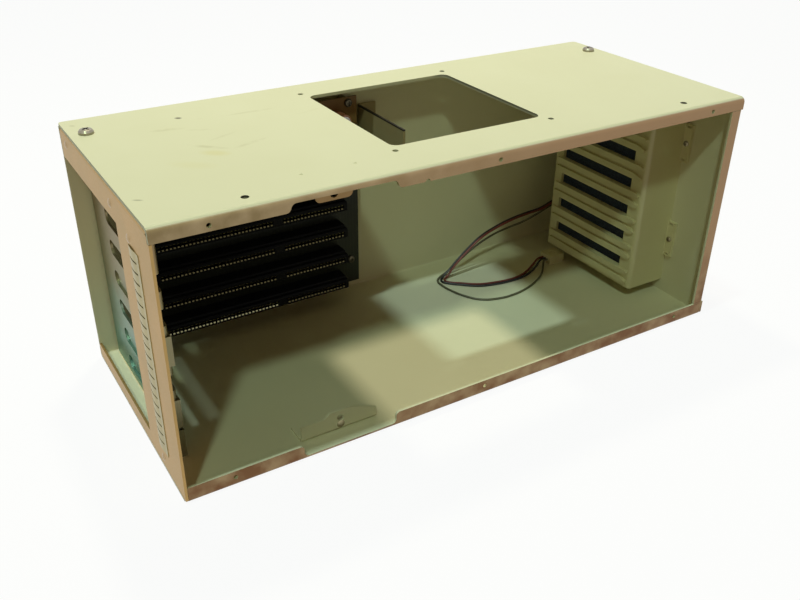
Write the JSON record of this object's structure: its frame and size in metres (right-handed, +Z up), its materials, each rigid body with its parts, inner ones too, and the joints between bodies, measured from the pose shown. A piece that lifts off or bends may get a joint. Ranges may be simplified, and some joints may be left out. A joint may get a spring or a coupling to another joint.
{
  "type": "industrial computer chassis",
  "caption": "Open-fronted folded sheet chassis for plug-in cards, with a backplane, bracket slots in one side, a moulded card guide with a fan behind it and a square cut-out in its cover.",
  "frame": {"origin": "middle of the footprint, at the underside", "axes": "+Z up, the open front faces -Y, +X runs along the case to the fan side"},
  "size_m": [0.3908, 0.165, 0.1638],
  "materials": {
    "paint": "pale grey-green semi-gloss paint",
    "bare_steel": "bare plated steel sheet",
    "zinc": "zinc plated",
    "spring_strip": "bright spring metal",
    "board": "dark green glass laminate",
    "black_plastic": "moulded black",
    "nylon": "moulded cream",
    "can": "sleeved can",
    "fan_plastic": "moulded black",
    "winding": "lacquered wire",
    "black_lead": "flexible sheath",
    "red_lead": "flexible sheath",
    "grey_lead": "flexible sheath"
  },
  "bodies": {
    "chassis": {"base_pan": "paint", "top_cover": "paint", "right_side_panel": "paint", "lower_catch_bracket": "paint", "inner_bracket": "paint", "left_side_panel": "bare_steel", "slot_panel": "bare_steel", "upper_catch_bracket": "bare_steel", "catch_rivet": "zinc", "cover_screws": "zinc", "side_rivets": "zinc", "slot_blank_1": "zinc", "slot_blank_2": "zinc", "slot_blank_3": "zinc", "blank_screws": "zinc", "backplane_spacers": "zinc", "backplane_screws": "zinc", "guide_screws": "zinc", "fan_screws": "zinc", "inner_screws": "zinc", "finger_strip": "spring_strip", "backplane_board": "board", "card_connector_1": "black_plastic", "card_connector_2": "black_plastic", "card_connector_3": "black_plastic", "card_connector_4": "black_plastic", "card_connector_5": "black_plastic", "card_connector_6": "black_plastic", "supply_header": "nylon", "card_guide": "nylon", "lead_connector": "nylon", "capacitor_1": "can", "capacitor_2": "can", "fan_frame": "fan_plastic", "fan_stator": "winding", "lead_black": "black_lead", "lead_red": "red_lead", "lead_grey": "grey_lead"},
    "rotor": {"fan_rotor": "fan_plastic"}
  },
  "joints": [
    {"name": "fan_spin", "type": "hinge", "parent": "chassis", "child": "rotor", "pos_m": [0.1814, 0.0045, 0.078], "axis": [1, 0, 0], "continuous": true}
  ]
}
